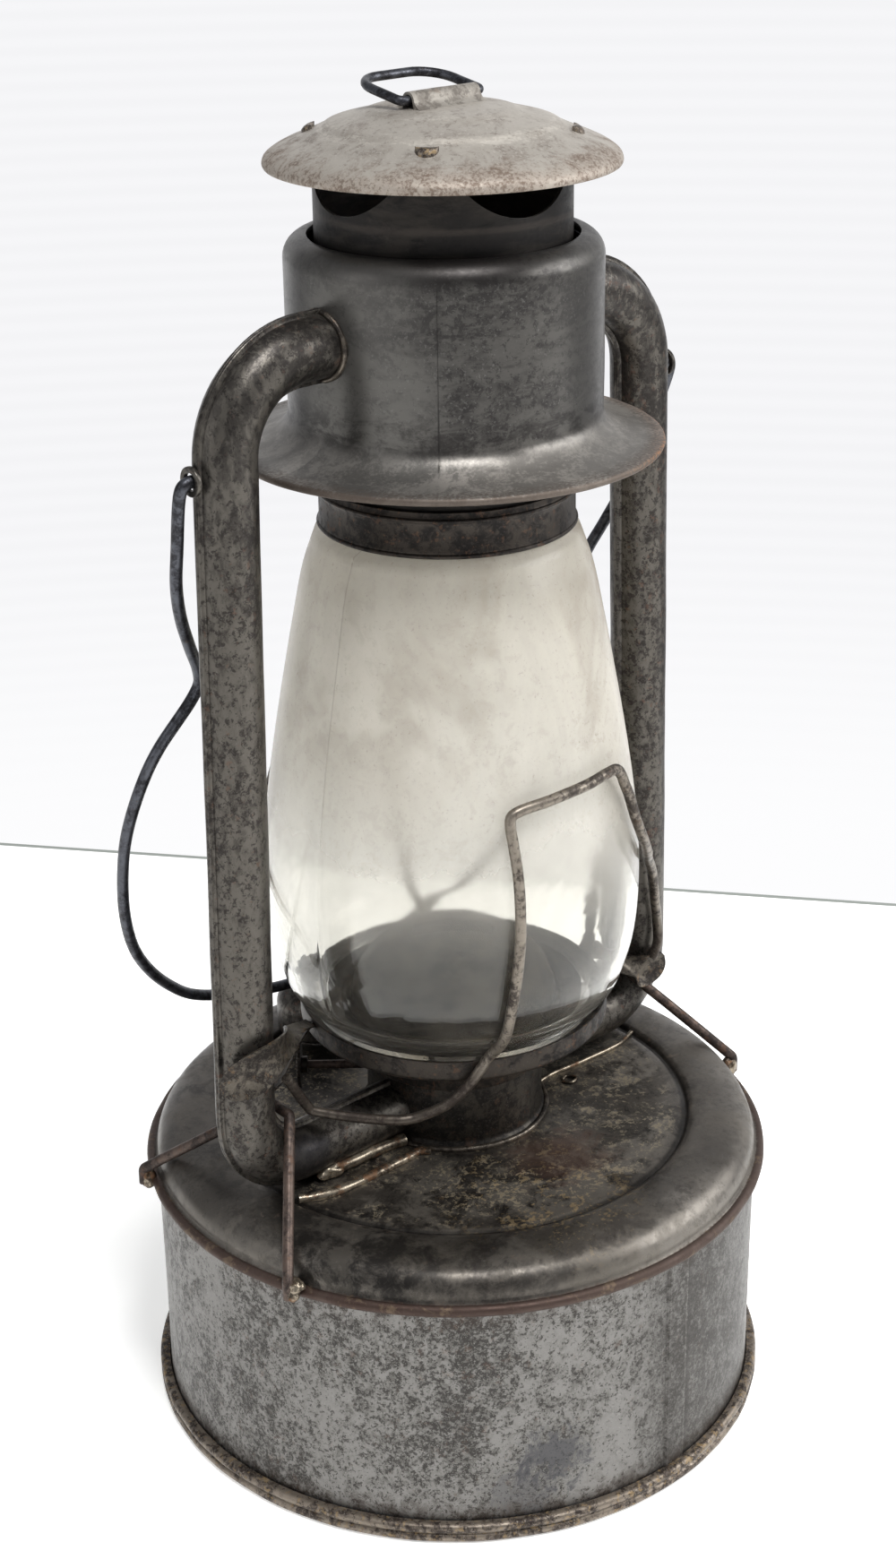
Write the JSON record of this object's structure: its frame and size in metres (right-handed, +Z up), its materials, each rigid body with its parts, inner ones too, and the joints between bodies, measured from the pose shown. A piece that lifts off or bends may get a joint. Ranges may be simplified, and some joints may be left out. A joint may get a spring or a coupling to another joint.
{
  "type": "barn lantern",
  "caption": "Tubular oil barn lantern with round fount, glass globe, side air tubes, spring-held chimney, wire guards and swinging bail.",
  "frame": {"origin": "centre of the flat underside of the fount", "axes": "+Z up along the lantern's axis, X through the two side tubes, the front of the lantern faces -Y and the bail leans back to +Y"},
  "size_m": [0.19, 0.19, 0.3956],
  "materials": {
    "tank_sheet": "worn zinc-coated sheet",
    "tank_top": "sooty, oily sheet",
    "tube_sheet": "pitted zinc-coated sheet",
    "chamber_sheet": "dark, cloudy sheet",
    "cap_sheet": "dusty, scuffed sheet",
    "rusty_sheet": "dark, rusty sheet",
    "rusty_wire": "rusty steel wire",
    "steel_wire": "dark blued steel wire",
    "spring_steel": "oily spring wire",
    "burner_brass": "tarnished brass",
    "globe_glass": "hazy pressed glass",
    "wick_cotton": "woven cotton",
    "gasket_leather": "oily leather"
  },
  "bodies": {
    "lantern": {"fount_bottom": "tank_sheet", "fount_wall": "tank_sheet", "fount_top": "tank_top", "filler_neck": "tank_sheet", "burner_collar": "tank_top", "burner_socket": "burner_brass", "burner_body": "burner_brass", "burner_drum": "burner_brass", "wick_tube": "burner_brass", "burner_cone": "burner_brass", "globe_plate": "rusty_sheet", "tube_left_front": "tube_sheet", "tube_left_back": "tube_sheet", "tube_right_front": "tube_sheet", "tube_right_back": "tube_sheet", "plate_arm_left": "rusty_sheet", "plate_arm_right": "rusty_sheet", "bail_ear_left": "tube_sheet", "bail_ear_right": "tube_sheet", "brace_left": "rusty_wire", "brace_right": "rusty_wire", "guard_front": "rusty_wire", "guard_rear": "rusty_wire", "air_chamber": "chamber_sheet", "chimney_spring": "spring_steel"},
    "chimney": {"chimney_tube": "chamber_sheet", "spring_seat": "chamber_sheet", "cap": "cap_sheet", "ring_bracket": "cap_sheet", "globe_ring": "rusty_sheet"},
    "lift_ring": {"lift_ring": "steel_wire"},
    "bail": {"bail": "steel_wire"},
    "globe": {"globe": "globe_glass"},
    "filler_cap": {"filler_cap": "tube_sheet", "filler_gasket": "gasket_leather"},
    "wick_shaft": {"wick_shaft": "rusty_wire", "feed_wheel_1": "burner_brass", "feed_wheel_2": "burner_brass", "wick_knob": "rusty_sheet"},
    "wick": {"wick": "wick_cotton"}
  },
  "joints": [
    {"name": "bail_swing", "type": "hinge", "parent": "lantern", "child": "bail", "pos_m": [0, 0, 0.3057], "axis": [1, 0, 0], "range_deg": [0, 331]},
    {"name": "chimney_lift", "type": "slide", "parent": "lantern", "child": "chimney", "axis": [0, 0, 1], "range_m": [0, 0.022], "stiffness_N_per_m": 250, "springref_m": -0.02, "deforming": ["chimney_spring"]},
    {"name": "ring_swing", "type": "hinge", "parent": "chimney", "child": "lift_ring", "pos_m": [0, 0, 0.391], "axis": [1, 0, 0], "range_deg": [-15, 174]},
    {"name": "globe_turn", "type": "hinge", "parent": "lantern", "child": "globe", "pos_m": [0, 0, 0.2], "axis": [0, 0, 1], "continuous": true},
    {"name": "knob_turn", "type": "hinge", "parent": "lantern", "child": "wick_shaft", "pos_m": [-0.00366, -0.00411, 0.1068], "axis": [0.7466, -0.6652, 0], "range_deg": [-57.3, 143.24]},
    {"name": "wick_raise", "type": "slide", "parent": "lantern", "child": "wick", "axis": [0, 0, 1], "range_m": [-0.004, 0.01]},
    {"name": "cap_turn", "type": "hinge", "parent": "lantern", "child": "filler_cap", "pos_m": [-0.0022, 0.06296, 0.1], "axis": [0, 0, 1], "range_deg": [0, 540]}
  ],
  "couplings": [
    {"joint": "knob_turn", "follows": "wick_raise", "rad_per_m": 250}
  ]
}
